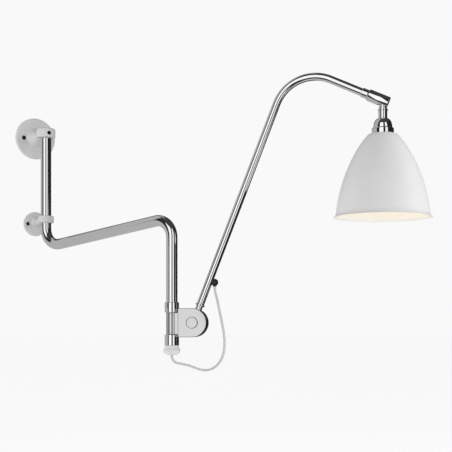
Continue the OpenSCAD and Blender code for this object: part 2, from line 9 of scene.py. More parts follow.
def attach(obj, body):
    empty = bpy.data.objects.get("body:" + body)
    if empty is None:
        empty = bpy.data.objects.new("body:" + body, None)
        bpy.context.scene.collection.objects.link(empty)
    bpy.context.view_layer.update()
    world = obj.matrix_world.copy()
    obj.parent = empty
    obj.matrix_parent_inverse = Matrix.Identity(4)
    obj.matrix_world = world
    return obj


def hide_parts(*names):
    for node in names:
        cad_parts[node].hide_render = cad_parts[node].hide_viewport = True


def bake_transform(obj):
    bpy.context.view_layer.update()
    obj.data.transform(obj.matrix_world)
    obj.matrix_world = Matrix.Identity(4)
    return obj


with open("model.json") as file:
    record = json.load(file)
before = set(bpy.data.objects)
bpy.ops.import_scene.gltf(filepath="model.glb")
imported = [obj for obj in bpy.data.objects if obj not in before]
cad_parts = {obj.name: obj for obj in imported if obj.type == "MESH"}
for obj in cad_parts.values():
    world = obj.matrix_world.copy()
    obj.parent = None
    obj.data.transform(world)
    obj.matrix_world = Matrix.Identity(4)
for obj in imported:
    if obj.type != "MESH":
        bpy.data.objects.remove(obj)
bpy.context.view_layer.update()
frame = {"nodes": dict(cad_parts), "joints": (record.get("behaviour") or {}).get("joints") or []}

# --- Camera ------------------------------------------------------------------------
# A level camera at the height of the elbow, on a long lens. The lens is shifted up, so
# that the lamp's upright tubes stay parallel.
level = math.radians(90)
view_turn = math.radians(30)      # the camera looks this far round from square to the wall
bpy.ops.object.camera_add(location=(-0.6424, -1.8314, -0.3433), rotation=(level, 0, -view_turn))
camera = bpy.context.active_object
camera.data.sensor_width = 36
camera.data.lens = 80.77
camera.data.shift_y = 0.2118
bpy.context.scene.camera = camera

# --- Cord --------------------------------------------------------------------------
# Light grey two-core flex, 4.4 mm across, hanging in one loop from the white cap under
# the knuckle up to the black bush on the arm. Its cores are twisted, which shows most
# where it leaves the cap.
MM = 0.001
UP = Vector((0, 0, 1))
joint = {j["name"]: j for j in frame["joints"]}
column = Vector(joint["knuckle_swivel"]["pos_m"])
column.z = 0
pivot = Vector(joint["elbow_tilt"]["pos_m"])
outward = Vector((pivot.x, pivot.y, 0)) - column     # from the column towards the elbow
outward.normalize()
across = UP.cross(outward)                           # along the elbow pin

cord_d = 4.4 * MM
core_pitch = 17 * MM
plain_waist, twist_waist = 0.02, 0.3      # how far the flex is waisted between its cores
twist_middle, twist_spread = 0.22, 0.2    # where along the cord its twist shows
# Its route in the knuckle's own plane, as (distance from the column, height) in millimetres
cord_route = [
    (0, -399), (0.4, -403.6), (3, -408.5), (8.5, -412), (16, -413.5), (24, -415),
    (33, -417.5), (42, -420.8), (51, -423.3), (60, -423.6), (69, -420.8), (77, -415),
    (83.5, -406), (87.5, -395), (89, -382), (88.4, -367), (85.6, -349), (81.2, -328),
    (77, -308), (73.4, -293.5), (72.5, -285),
]


def smooth_route(points, steps):
    """A Catmull-Rom curve through the points, with that many steps between two of them."""
    line = []
    for i in range(len(points) - 1):
        near = (points[max(0, min(len(points) - 1, k))] for k in (i - 1, i, i + 1, i + 2))
        a, b, c, d = (Vector(point) for point in near)
        for k in range(steps):
            t = k / steps
            line.append(0.5 * (2 * b + (c - a) * t + (2 * a - 5 * b + 4 * c - d) * t * t
                               + (3 * b - a - 3 * c + d) * t ** 3))
    return line + [Vector(points[-1])]


cord_path = [column + outward * (p.x * MM) + UP * (p.y * MM)
             for p in smooth_route(cord_route, 10)]
cord_long = [0.0]
for a, b in zip(cord_path, cord_path[1:]):
    cord_long.append(cord_long[-1] + (b - a).length)
cord_length = cord_long[-1]


def cord_twist(s):
    """How far the two cores stand apart at s along the cord, from 0 to 1."""
    return max(0.0, 1 - abs(s / cord_length - twist_middle) / twist_spread)


def cord_mesh(name, path, sides):
    """A tube along the path, waisted between its two cores, which turn about each other. Its
    UV map runs round it and along it."""
    mesh = bmesh.new()
    uv = mesh.loops.layers.uv.new("flex")
    rings = []
    for i, p in enumerate(path):
        ahead = (path[min(i + 1, len(path) - 1)] - path[max(i - 1, 0)]).normalized()
        lift = across.cross(ahead)
        s = cord_long[i]
        waist = plain_waist + twist_waist * cord_twist(s)
        ring = []
        for k in range(sides):
            a = 2 * math.pi * k / sides
            r = cord_d / 2 * (1 - waist * math.sin(a - 2 * math.pi * s / core_pitch) ** 2)
            ring.append(mesh.verts.new(p + across * (r * math.cos(a)) + lift * (r * math.sin(a))))
        rings.append(ring)
    for i, (low, high) in enumerate(zip(rings, rings[1:])):
        for k in range(sides):
            j = (k + 1) % sides
            face = mesh.faces.new((low[k], low[j], high[j], high[k]))
            face.smooth = True
            corners = ((k, i), (k + 1, i), (k + 1, i + 1), (k, i + 1))
            for loop, (u, v) in zip(face.loops, corners):
                loop[uv].uv = (u / sides, cord_long[v] / cord_d)
    mesh.faces.new(rings[0])
    mesh.faces.new(list(reversed(rings[-1])))
    bmesh.ops.recalc_face_normals(mesh, faces=mesh.faces)
    made = bpy.data.meshes.new(name)
    mesh.to_mesh(made)
    mesh.free()
    piece = bpy.data.objects.new(name, made)
    bpy.context.scene.collection.objects.link(piece)
    return piece


def node_in(material, kind, **inputs):
    """A new node of a material, with its inputs set by name."""
    made = material.node_tree.nodes.new(kind)
    for socket, value in inputs.items():
        made.inputs[socket.replace("_", " ")].default_value = value
    return made


def blank_material(name, **shader_inputs):
    """A material with one Principled shader, and that shader."""
    material = bpy.data.materials.new(name)
    material.use_nodes = True
    shader = material.node_tree.nodes["Principled BSDF"]
    for socket, value in shader_inputs.items():
        shader.inputs[socket.replace("_", " ")].default_value = value
    return material, shader


flex_white, flex_shader = blank_material("flex_white", Roughness=0.42, IOR=1.5)
flex_link = flex_white.node_tree.links.new
flex_uv = node_in(flex_white, "ShaderNodeTexCoord")
flex_lay = node_in(flex_white, "ShaderNodeMapping", Scale=(6, 2.4, 1))
# The flex's colour follows a diagonal wave that also drives its bump, so it is darker where the
# bump is low, in the grooves of the twist: painted shade.
flex_wave = node_in(flex_white, "ShaderNodeTexWave", Scale=1.0, Distortion=0.6, Detail=1.0)
flex_wave.bands_direction = "DIAGONAL"
flex_groove_shade = node_in(flex_white, "ShaderNodeValToRGB")
flex_groove_shade.color_ramp.elements[0].color = (0.54, 0.54, 0.54, 1)
flex_groove_shade.color_ramp.elements[1].color = (0.70, 0.70, 0.70, 1)
flex_bump = node_in(flex_white, "ShaderNodeBump", Strength=0.35, Distance=0.0002)
flex_link(flex_uv.outputs["UV"], flex_lay.inputs["Vector"])
flex_link(flex_lay.outputs["Vector"], flex_wave.inputs["Vector"])
flex_link(flex_wave.outputs["Fac"], flex_groove_shade.inputs["Fac"])
flex_link(flex_groove_shade.outputs["Color"], flex_shader.inputs["Base Color"])
flex_link(flex_wave.outputs["Fac"], flex_bump.inputs["Height"])
flex_link(flex_bump.outputs["Normal"], flex_shader.inputs["Normal"])

cord = cord_mesh("cord", cord_path, 20)
cord.data.materials.append(flex_white)
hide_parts("cord_loop")
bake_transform(cord)

# --- Upper wall bracket --------------------------------------------------------------
# Die-cast zinc in pale grey satin lacquer: a round plate, a neck that flares into it and
# an upright clamp that holds the tube. The castings are one piece, trimmed and drilled
# for two wall screws and a grub screw.
OUT_OF_WALL = Vector((0, -1, 0))
RIGHT = Vector((1, 0, 0))
swing = Vector(joint["wall_swing"]["pos_m"])
swing.z = 0
tube_r = 9.5 * MM
bush_r = tube_r + 2 * MM
smooth_angle = math.radians(32)
merge_gap = 2e-6
neck_up = Vector((0, 0, 1.6 * MM))
neck_root, neck_r = 18, 7.6
socket_top = 7.8
grub_hole_r = 3.6
upper_screws_x = 23
upper_plate = 5.5


def settle(piece, name):
    """Gives a finished piece its name, with its object at the origin and smooth faces."""
    bpy.ops.object.select_all(action="DESELECT")
    piece.select_set(True)
    bpy.context.view_layer.objects.active = piece
    bpy.ops.object.transform_apply(location=True, rotation=True, scale=True)
    bpy.ops.object.shade_smooth_by_angle(angle=smooth_angle)
    piece.name = piece.data.name = name
    return piece


def turned(name, outline, foot, along, side, steps=72):
    """A piece turned on a lathe. Its outline is drawn point by point beside the axis, as
    (radius, distance from the foot) in millimetres, and spun round."""
    bpy.ops.object.select_all(action="DESELECT")
    place = [foot + side * (r * MM) + along * (h * MM) for r, h in outline]
    bpy.ops.mesh.primitive_plane_add(size=MM, location=place[0])
    bpy.ops.object.transform_apply(location=True, rotation=True, scale=True)
    bpy.ops.object.mode_set(mode="EDIT")
    bpy.ops.mesh.select_all(action="SELECT")
    bpy.ops.mesh.merge(type="CENTER")
    for a, b in zip(place, place[1:]):
        bpy.ops.mesh.extrude_region_move(TRANSFORM_OT_translate={"value": b - a})
    bpy.ops.mesh.select_all(action="SELECT")
    bpy.ops.mesh.remove_doubles(threshold=merge_gap)
    bpy.ops.mesh.spin(steps=steps, angle=2 * math.pi, center=foot, axis=along)
    bpy.ops.mesh.select_all(action="SELECT")
    bpy.ops.mesh.remove_doubles(threshold=merge_gap)
    bpy.ops.mesh.normals_make_consistent(inside=False)
    bpy.ops.object.mode_set(mode="OBJECT")
    return settle(bpy.context.active_object, name)


def rod(name, r, start, end, vertices=72):
    """A round bar, or with few vertices a bar with flats, from one point to another."""
    bpy.ops.object.select_all(action="DESELECT")
    bpy.ops.mesh.primitive_cylinder_add(
        vertices=vertices, radius=r, depth=(end - start).length, location=(start + end) / 2,
        rotation=(end - start).to_track_quat("Z", "Y").to_euler(),
    )
    return settle(bpy.context.active_object, name)


def shape_with(piece, other, operation):
    """Joins another solid to a piece, or cuts it away, and removes the other."""
    bpy.ops.object.select_all(action="DESELECT")
    bpy.context.view_layer.objects.active = piece
    cut = piece.modifiers.new("cut", "BOOLEAN")
    cut.operation, cut.solver, cut.object = operation, "EXACT", other
    bpy.ops.object.modifier_apply(modifier=cut.name)
    bpy.data.objects.remove(other)
    return piece


def arc(centre, r, start, end, steps):
    """Points of an arc, as (radius, distance), from one angle to another in degrees."""
    turns = [math.radians(start + (end - start) * k / steps) for k in range(steps + 1)]
    return [(centre[0] + r * math.cos(a), centre[1] + r * math.sin(a)) for a in turns]


def disc(r, foot, top, chamfer, edge, steps=6):
    """Outline of a thick round disc, with a small chamfer at its foot and a rounded top."""
    return ([(0, foot), (r - chamfer, foot), (r, foot + chamfer), (r, top - edge)]
            + arc((r - edge, top - edge), edge, 0, 90, steps) + [(0, top)])


def flared(r0, r1, start, length, steps=12):
    """Outline of a neck that leaves the plate at a clear edge and narrows from r0 to r1 in a
    hollow curve."""
    turns = [math.radians(30 + 60 * k / steps) for k in range(steps + 1)]
    return [(r1 + (r0 - r1) * (1 - math.sin(a)) / (1 - math.sin(turns[0])),
             start + length * (1 - math.cos(a) / math.cos(turns[0]))) for a in turns]


def finish(name, colour, rough, metal=0.0, mottle=(60, 0.03), smears=(25, 0.05),
           bump=(900, 0.03), **shader_inputs):
    """A surface finish: a base colour that varies by mottle, a roughness that varies by
    smears, and a fine unevenness, each as (scale, amount)."""
    material, shader = blank_material(name, Metallic=metal, **shader_inputs)
    link = material.node_tree.links.new
    place = node_in(material, "ShaderNodeTexCoord")
    patches = node_in(material, "ShaderNodeTexNoise", Scale=mottle[0], Detail=4.0)
    tone = node_in(material, "ShaderNodeValToRGB")
    ends = ((0.35, 1 - mottle[1]), (0.65, 1 + mottle[1]))
    for element, (position, share) in zip(tone.color_ramp.elements, ends):
        element.color = [min(1.0, c * share) for c in colour] + [1]
        element.position = position
    link(place.outputs["Object"], patches.inputs["Vector"])
    link(patches.outputs["Fac"], tone.inputs["Fac"])
    link(tone.outputs["Color"], shader.inputs["Base Color"])
    wiped = node_in(material, "ShaderNodeTexNoise", Scale=smears[0], Detail=5.0, Distortion=0.8)
    sheen = node_in(material, "ShaderNodeMapRange", From_Min=0.3, From_Max=0.7,
                    To_Min=max(0.02, rough - smears[1]), To_Max=rough + smears[1])
    link(place.outputs["Object"], wiped.inputs["Vector"])
    link(wiped.outputs["Fac"], sheen.inputs["Value"])
    link(sheen.outputs["Result"], shader.inputs["Roughness"])
    grain = node_in(material, "ShaderNodeTexNoise", Scale=bump[0], Detail=3.0)
    uneven = node_in(material, "ShaderNodeBump", Strength=bump[1], Distance=0.0005)
    link(place.outputs["Object"], grain.inputs["Vector"])
    link(grain.outputs["Fac"], uneven.inputs["Height"])
    link(uneven.outputs["Normal"], shader.inputs["Normal"])
    return material


def fit(piece, material, body, slot, *nodes):
    """Gives a piece its finish and its CAD body, and hides the CAD nodes it stands for."""
    piece.data.materials.clear()
    piece.data.materials.append(material)
    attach(piece, body)
    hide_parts(*nodes)


def coat(material, *nodes):
    """Gives CAD nodes that keep their own shape a finish."""
    for name in nodes:
        held = frame["nodes"][name].data.materials
        held.clear()
        held.append(material)


def cut_away(piece, other):
    """Cuts another solid out of a piece."""
    shape_with(piece, other, "DIFFERENCE")


def countersink(piece, x, z, r, head_r, plate):
    """Cuts a countersunk hole for a wall screw through a plate."""
    outline = [(0, -1), (r, -1), (r, plate - (head_r - r)), (head_r, plate), (head_r, plate + 1),
               (0, plate + 1)]
    cut_away(piece, turned("hole", outline, Vector((x, 0, z)) * MM, OUT_OF_WALL, RIGHT, 40))


bracket_lacquer = finish("bracket_lacquer", (0.51, 0.505, 0.51), 0.4, mottle=(45, 0.02),
                         smears=(30, 0.06), bump=(1400, 0.01), IOR=1.45, Coat_Weight=0.15,
                         Coat_Roughness=0.3)
upper_bracket = turned("upper_bracket", disc(38, 0, upper_plate, 0.4, 2.5), Vector(),
                       OUT_OF_WALL, RIGHT, 96)
upper_neck = turned("neck", [(0, 1), (neck_root, 1)] + flared(neck_root, neck_r, 5.4, 24)
                    + [(neck_r, 58), (0, 58)], neck_up, OUT_OF_WALL, RIGHT)
upper_clamp = turned("clamp", disc(17, -7, 9.4, 0.8, 3), swing, UP, RIGHT)
shape_with(upper_bracket, upper_neck, "UNION")
shape_with(upper_bracket, upper_clamp, "UNION")
cut_away(upper_bracket, rod("socket", bush_r, swing - UP * (20 * MM), swing + UP * socket_top * MM))
cut_away(upper_bracket, rod("recess", 11 * MM, neck_up - OUT_OF_WALL * (10 * MM),
                            neck_up + OUT_OF_WALL * 9 * MM))
grub_at = swing - UP * 0.2 * MM
cut_away(upper_bracket, rod("grub_hole", grub_hole_r * MM, grub_at,
                            grub_at + OUT_OF_WALL * (30 * MM), 32))
for side in (-1, 1):
    countersink(upper_bracket, side * upper_screws_x, 0, 2.25, 4.3, upper_plate)
settle(upper_bracket, "upper_bracket")
fit(upper_bracket, bracket_lacquer, "wall_brackets", "bracket_paint", "upper_bracket")

# --- Lower wall bracket --------------------------------------------------------------
# The same zinc casting and lacquer, smaller: a round plate and a thin neck with a ring
# that the tube turns in. Two screws hold it to the wall.
lower_plate_z, ring_z = -160, -156.5
lower_screws_x = 15
lower_plate = 4.5
ring_half = 6.3
ring_up = UP * (ring_z * MM)
ring_at = swing + ring_up
lower_bracket = turned("lower_bracket", disc(22.5, 0, lower_plate, 0.4, 2),
                       UP * (lower_plate_z * MM), OUT_OF_WALL, RIGHT, 96)
lower_neck = turned("neck", [(0, 1), (9.5, 1)] + flared(9.5, 5.2, 4.4, 10) + [(5.8, 47), (0, 47)],
                    ring_up, OUT_OF_WALL, RIGHT)
tube_ring = turned("ring", disc(14.3, -ring_half, ring_half, 1.2, 2, 5), ring_at, UP, RIGHT)
shape_with(lower_bracket, lower_neck, "UNION")
shape_with(lower_bracket, tube_ring, "UNION")
cut_away(lower_bracket, rod("bore", bush_r, ring_at - UP * (10 * MM), ring_at + UP * (10 * MM)))
for side in (-1, 1):
    countersink(lower_bracket, side * lower_screws_x, lower_plate_z, 2, 3.6, lower_plate)
settle(lower_bracket, "lower_bracket")
fit(lower_bracket, bracket_lacquer, "wall_brackets", "bracket_paint", "lower_bracket")

# --- Wall screws -----------------------------------------------------------------------
# Four countersunk steel screws, blackened, with hexagon sockets. They pass through the
# plates, which is all of them that is made here: their threads are in the wall.
black_steel = finish("black_steel", (0.022, 0.022, 0.024), 0.3, 0.6, mottle=(500, 0.2),
                     smears=(300, 0.08), bump=(2500, 0.05))
hex_r, hex_deep = 1.5, 1.4
# Each as (bracket, x, z, shank radius, head radius, top of its head)
screw_places = [("upper", s * upper_screws_x, 0, 2.2, 4.1, 5.3) for s in (-1, 1)]
screw_places += [("lower", s * lower_screws_x, lower_plate_z, 1.95, 3.4, 4.3) for s in (-1, 1)]
for place, x, z, r, head_r, top in screw_places:
    foot = Vector((x, 0, z)) * MM
    screw = turned("screw", [(0, 0.2), (r, 0.2), (r, top - (head_r - r)), (head_r, top - 0.1),
                             (head_r - 0.2, top), (0, top)], foot, OUT_OF_WALL, RIGHT, 40)
    cut_away(screw, rod("socket", hex_r * MM, foot + OUT_OF_WALL * (top - hex_deep) * MM,
                        foot + OUT_OF_WALL * (top + 1) * MM, 6))
    settle(screw, f"{place}_wall_screw_{'left' if x < 0 else 'right'}")
    screw.data.materials.append(black_steel)
    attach(screw, "wall_brackets")

# --- Clamp's grub screw, bushes and supply flex ------------------------------------------
# A blackened grub screw presses a nylon bush on the tube, and a second bush lines the
# lower ring. Behind the plate the white flex comes from a small terminal block.
nylon = finish("nylon", (0.72, 0.71, 0.68), 0.45, mottle=(200, 0.05), bump=(1800, 0.05))
white_plastic = finish("white_plastic", (0.74, 0.74, 0.74), 0.28, mottle=(70, 0.02),
                       smears=(40, 0.05), bump=(700, 0.03), IOR=1.5)
inner_flex = finish("inner_flex", (0.7, 0.7, 0.68), 0.4, mottle=(300, 0.05))
grub_foot, grub_top, grub_socket_foot = 11.6, 16.7, 14.4      # from the tube's axis
grub_screw = rod("clamp_grub_screw", (grub_hole_r - 0.1) * MM,
                 grub_at + OUT_OF_WALL * grub_foot * MM, grub_at + OUT_OF_WALL * grub_top * MM, 32)
cut_away(grub_screw, rod("socket", 1.95 * MM, grub_at + OUT_OF_WALL * grub_socket_foot * MM,
                         grub_at + OUT_OF_WALL * 18 * MM, 6))
settle(grub_screw, "clamp_grub_screw")
fit(grub_screw, black_steel, "wall_brackets", "black_steel", "clamp_grub_screw")
coat(nylon, "clamp_bush", "ring_bush")
coat(inner_flex, "wall_flex", "column_flex", "arm_flex")
coat(white_plastic, "terminal_block")

# --- Lower arm ---------------------------------------------------------------------------
# One length of 19 mm steel tube, bent twice to a Z and chromed. It hangs in the clamp,
# turns in the lower ring, and runs out and up to the column that carries the knuckle.
chrome = finish("chrome", (0.86, 0.86, 0.87), 0.03, 1.0, mottle=(40, 0.02), smears=(18, 0.01),
                bump=(120, 0.003))
arm_way = column - swing
arm_way.normalize()
arm_side = UP.cross(arm_way)
lower_reach, lower_rise = 290, 38     # from the wall's upright tube out to the column
low_corner_z = -207
lower_bend = 30
tube_top_z, column_foot_z = 2.6, -326
lower_slope = math.atan(lower_rise / lower_reach)
lower_turn = math.pi / 2 + lower_slope
corner = lower_bend * math.tan(lower_turn / 2)
first_bend_z, last_bend_z = low_corner_z + corner, low_corner_z + lower_rise - corner
slant = lower_reach / math.cos(lower_slope) - 2 * corner


def start_tube(r, at, direction, vertices=64):
    """Puts a ring of edges at the start of a tube, in edit mode, ready to be drawn out."""
    bpy.ops.object.select_all(action="DESELECT")
    bpy.ops.mesh.primitive_circle_add(vertices=vertices, radius=r, location=at,
                                      rotation=direction.to_track_quat("Z", "Y").to_euler())
    bpy.ops.object.transform_apply(location=True, rotation=True, scale=True)
    bpy.ops.object.mode_set(mode="EDIT")
    bpy.ops.mesh.select_all(action="SELECT")


def draw_out(way):
    """Draws the tube out straight."""
    bpy.ops.mesh.extrude_region_move(TRANSFORM_OT_translate={"value": way})


def bend_round(centre, axis, angle, steps):
    """Bends the tube on round a centre. Spin turns against the right hand."""
    bpy.ops.mesh.spin(steps=steps, angle=angle, center=centre, axis=-axis)


def end_tube(name):
    """Closes both ends of the tube."""
    bpy.ops.mesh.select_all(action="SELECT")
    bpy.ops.mesh.remove_doubles(threshold=merge_gap)
    bpy.ops.mesh.fill_holes(sides=0)
    bpy.ops.mesh.select_all(action="SELECT")
    bpy.ops.mesh.normals_make_consistent(inside=False)
    bpy.ops.object.mode_set(mode="OBJECT")
    return settle(bpy.context.active_object, name)


start_tube(tube_r, swing + UP * tube_top_z * MM, UP)
draw_out(UP * (first_bend_z - tube_top_z) * MM)
bend_round(swing + arm_way * lower_bend * MM + UP * first_bend_z * MM, -arm_side, lower_turn, 32)
draw_out((arm_way * math.cos(lower_slope) + UP * math.sin(lower_slope)) * slant * MM)
bend_round(swing + arm_way * (lower_reach - lower_bend) * MM + UP * last_bend_z * MM, arm_side,
           lower_turn, 32)
draw_out(UP * (column_foot_z - last_bend_z) * MM)
lower_arm = end_tube("lower_arm_tube")
fit(lower_arm, chrome, "lower_arm", "chrome", "lower_arm_tube")

# --- Collars and swivel ------------------------------------------------------------------
# The knuckle turns on a steel spindle in the foot of the column, between two chromed
# brass collars with thin fibre washers. A small set screw at the back holds each collar.
collar_r, spindle_r = 12, 6
plain_steel = finish("plain_steel", (0.5, 0.5, 0.52), 0.3, 1.0, mottle=(90, 0.08),
                     smears=(60, 0.1))
fibre = finish("fibre", (0.30, 0.28, 0.25), 0.7, mottle=(500, 0.12), bump=(1500, 0.2))
upper_collar = turned(
    "upper_collar",
    [(spindle_r, -328), (collar_r - 0.6, -328), (collar_r, -327.4), (collar_r, -311.8)]
    + arc((collar_r - 1, -311.8), 1, 0, 90, 4)
    + [(9.5, -310.8), (9.5, column_foot_z), (spindle_r, column_foot_z), (spindle_r, -328)],
    column, UP, RIGHT)
lower_collar = turned(
    "lower_collar",
    [(spindle_r, -382.9), (collar_r - 0.6, -382.9), (collar_r, -382.3), (collar_r, -365.3),
     (collar_r - 0.6, -364.7), (spindle_r, -364.7), (spindle_r, -382.9)],
    column, UP, RIGHT)
for collar, z in ((upper_collar, -318.8), (lower_collar, -374.9)):
    set_at = column + UP * z * MM
    cut_away(collar, rod("hole", 2 * MM, set_at + across * 8 * MM, set_at + across * 14 * MM, 32))
    settle(collar, collar.name)
fit(upper_collar, chrome, "lower_arm", "chrome", "upper_collar")
fit(lower_collar, chrome, "lower_arm", "chrome", "lower_collar")
coat(black_steel, "collar_set_screws")
coat(fibre, "thrust_washers", "friction_washers")
coat(plain_steel, "swivel_spindle", "elbow_pin", "tip_spindle", "seat_springs", "spin_nut")

# --- End cap -----------------------------------------------------------------------------
# A white moulded plastic cap pressed on the foot of the swivel spindle. It is a short
# neck over a flat rounded bulb, and the cord leaves through the middle of it.
outlet_r = 2.3
cap_neck = [(outlet_r, -382.9), (12.1, -382.9), (12.05, -385.5), (12.0, -386.8), (12.3, -387.6),
            (12.9, -388.2), (13.6, -389.2)]
cap_bulb = [(2.5 + 11.7 * math.cos(math.radians(a)), -391.7 + 7.3 * math.sin(math.radians(a)))
            for a in range(15, -90, -8)]
end_cap = turned("end_cap", cap_neck + cap_bulb + [(2.5, -399), (outlet_r, -398.8),
                                                   (outlet_r, -382.9)], column, UP, RIGHT)
fit(end_cap, white_plastic, "lower_arm", "white_plastic", "end_cap")

# --- Knuckle housing -----------------------------------------------------------------------
# A chromed brass casting: a sleeve that turns on the column's spindle, and two flat
# cheeks with a round end, with a slot between them for the arm's tongue.
satin_chrome = finish("satin_chrome", (0.62, 0.615, 0.62), 0.16, 1.0, mottle=(35, 0.02),
                      smears=(22, 0.05), bump=(400, 0.02))
cheek_r, housing_w = 24, 24
cheek_edge = 1.1
sleeve_foot, sleeve_top = -363.9, -328.9
bpy.ops.object.select_all(action="DESELECT")
bpy.ops.mesh.primitive_cylinder_add(vertices=128, radius=cheek_r * MM, depth=housing_w * MM,
                                    location=pivot,
                                    rotation=across.to_track_quat("Z", "Y").to_euler())
bpy.ops.object.transform_apply(location=True, rotation=True, scale=True)
housing = bpy.context.active_object
bpy.ops.object.mode_set(mode="EDIT")
bpy.ops.mesh.select_all(action="SELECT")
bpy.ops.mesh.bisect(plane_co=pivot, plane_no=outward, clear_inner=True, use_fill=True)
bpy.ops.mesh.select_all(action="DESELECT")
shell = bmesh.from_edit_mesh(housing.data)
for face in shell.faces:
    off = abs((face.calc_center_median() - pivot).dot(outward))
    if off < 1e-5 and abs(face.normal.dot(outward)) > 0.99:
        face.select = True
bmesh.update_edit_mesh(housing.data)
bpy.ops.mesh.extrude_region_move(TRANSFORM_OT_translate={"value": -outward * cheek_r * MM})
bpy.ops.mesh.select_all(action="SELECT")
bpy.ops.mesh.normals_make_consistent(inside=False)
bpy.ops.object.mode_set(mode="OBJECT")
rim = housing.modifiers.new("rim", "BEVEL")
rim.width, rim.segments = cheek_edge * MM, 4
rim.limit_method, rim.angle_limit = "ANGLE", math.radians(40)
bpy.ops.object.modifier_apply(modifier=rim.name)


def box_along(name, low, high, height):
    """A block in the knuckle's frame, from corner to corner, as (outward, across), with its
    middle at the pivot's height."""
    bpy.ops.object.select_all(action="DESELECT")
    middle = (column + outward * (low[0] + high[0]) / 2 * MM
              + across * (low[1] + high[1]) / 2 * MM)
    bpy.ops.mesh.primitive_cube_add(size=1, location=middle + UP * pivot.z,
                                    rotation=(0, 0, math.atan2(outward.y, outward.x)))
    block = bpy.context.active_object
    block.scale = ((high[0] - low[0]) * MM, (high[1] - low[1]) * MM, height * MM)
    return settle(block, name)


cut_away(housing, box_along("slot", (16, -6.3), (70, 6.3), 60))
sleeve = turned("sleeve", [(spindle_r, sleeve_foot), (9.2, sleeve_foot), (9.5, sleeve_foot + 0.3),
                           (9.5, sleeve_top - 0.3), (9.2, sleeve_top), (spindle_r, sleeve_top),
                           (spindle_r, sleeve_foot)], column, UP, RIGHT)
web = box_along("web", (6.5, -8.5), (15, 8.5), 34.9)
web.data.transform(Matrix.Translation(UP * -1.4 * MM))
shape_with(sleeve, web, "UNION")
shape_with(housing, sleeve, "UNION")
for side in (-1, 1):
    face_at = pivot + across * side * housing_w / 2 * MM
    cut_away(housing, rod("button_recess", 10.3 * MM, face_at - across * side * 0.8 * MM,
                          face_at + across * side * 2 * MM))
settle(housing, "knuckle_housing")
fit(housing, satin_chrome, "knuckle", "chrome", "knuckle_housing")

# --- Pin buttons ---------------------------------------------------------------------------
# Two chromed buttons close the elbow pin, one on each cheek, each in a shallow turned
# recess that leaves a fine groove round it.
for side, name in ((-1, "pin_button_front"), (1, "pin_button_back")):
    button = turned(name, [(0, 0), (9.6, 0), (9.6, 1.4)] + arc((8.4, 1.4), 1.2, 0, 90, 5)
                    + [(0, 2.6)], pivot + across * side * 11.2 * MM, across * side, UP)
    fit(button, satin_chrome, "knuckle", "chrome", "pin_buttons")

# --- Elbow tongue and ferrule ----------------------------------------------------------------
# The arm ends in a chromed steel tongue that tilts on the pin between friction washers.
# A turned ferrule covers the joint of tongue and tube.
arm_tilt = 21.2
ferrule_foot, ferrule_top = 30, 33.2      # along the arm, from the elbow's pin
ferrule_bore = 5.2
tilt = math.radians(arm_tilt)
arm_up = outward * math.sin(tilt) + UP * math.cos(tilt)
arm_out = outward * math.cos(tilt) - UP * math.sin(tilt)
coat(chrome, "elbow_tongue")
ferrule = turned("arm_ferrule", [(ferrule_bore, ferrule_foot), (7.4, ferrule_foot), (7.8, 30.4),
                                 (7.8, 32.2)] + arc((7, 32.4), 0.8, 0, 90, 4)
                 + [(6.3, ferrule_top), (ferrule_bore, ferrule_top), (ferrule_bore, ferrule_foot)],
                 pivot, arm_up, across, 56)
fit(ferrule, chrome, "upper_arm", "chrome", "arm_ferrule")

# --- Upper arm ---------------------------------------------------------------------------
# A 12.6 mm chromed steel tube: a long straight length up from the elbow, one wide bend,
# and a short length that slopes down to the ball joint.
arm_r = 6.3
arm_start, arm_straight = 31, 385     # along the arm, from the elbow's pin
arm_bend = 66
tip_fall = 24                         # degrees that the tip slopes below level
tip_long = 91.5 - 27
arm_turn = math.radians(90 - arm_tilt + tip_fall)
tip_way = outward * math.sin(tilt + arm_turn) + UP * math.cos(tilt + arm_turn)
start_tube(arm_r * MM, pivot + arm_up * arm_start * MM, arm_up, 48)
draw_out(arm_up * (arm_straight - arm_start) * MM)
bend_round(pivot + arm_up * arm_straight * MM + arm_out * arm_bend * MM, across, arm_turn, 40)
draw_out(tip_way * tip_long * MM)
upper_arm = end_tube("upper_arm_tube")
fit(upper_arm, chrome, "upper_arm", "chrome", "upper_arm_tube")

# --- Cord bush -----------------------------------------------------------------------------
# A round black plastic bush plugged into the arm. The cord enters it by a short nose on
# its underside and goes on inside the arm.
black_plastic = finish("black_plastic", (0.018, 0.018, 0.02), 0.22, mottle=(120, 0.25),
                       smears=(80, 0.06), bump=(900, 0.05), IOR=1.5)
bush_at = pivot + arm_up * 75.3 * MM + arm_out * 9.4 * MM
nose_long, nose_r = 6.8, 3.1
cord_bush = turned("cord_bush", [(0, -nose_long), (2.6, -nose_long), (nose_r, -6.3),
                                 (nose_r, -5.253)] + arc((0, 0), 6.1, -59.4, 90, 18),
                   bush_at, UP, outward, 48)
cut_away(cord_bush, rod("arm_seat", (arm_r + 0.02) * MM, pivot + arm_up * 60 * MM,
                        pivot + arm_up * 90 * MM, 48))
settle(cord_bush, "cord_bush")
fit(cord_bush, black_plastic, "upper_arm", "black_plastic", "cord_bush")

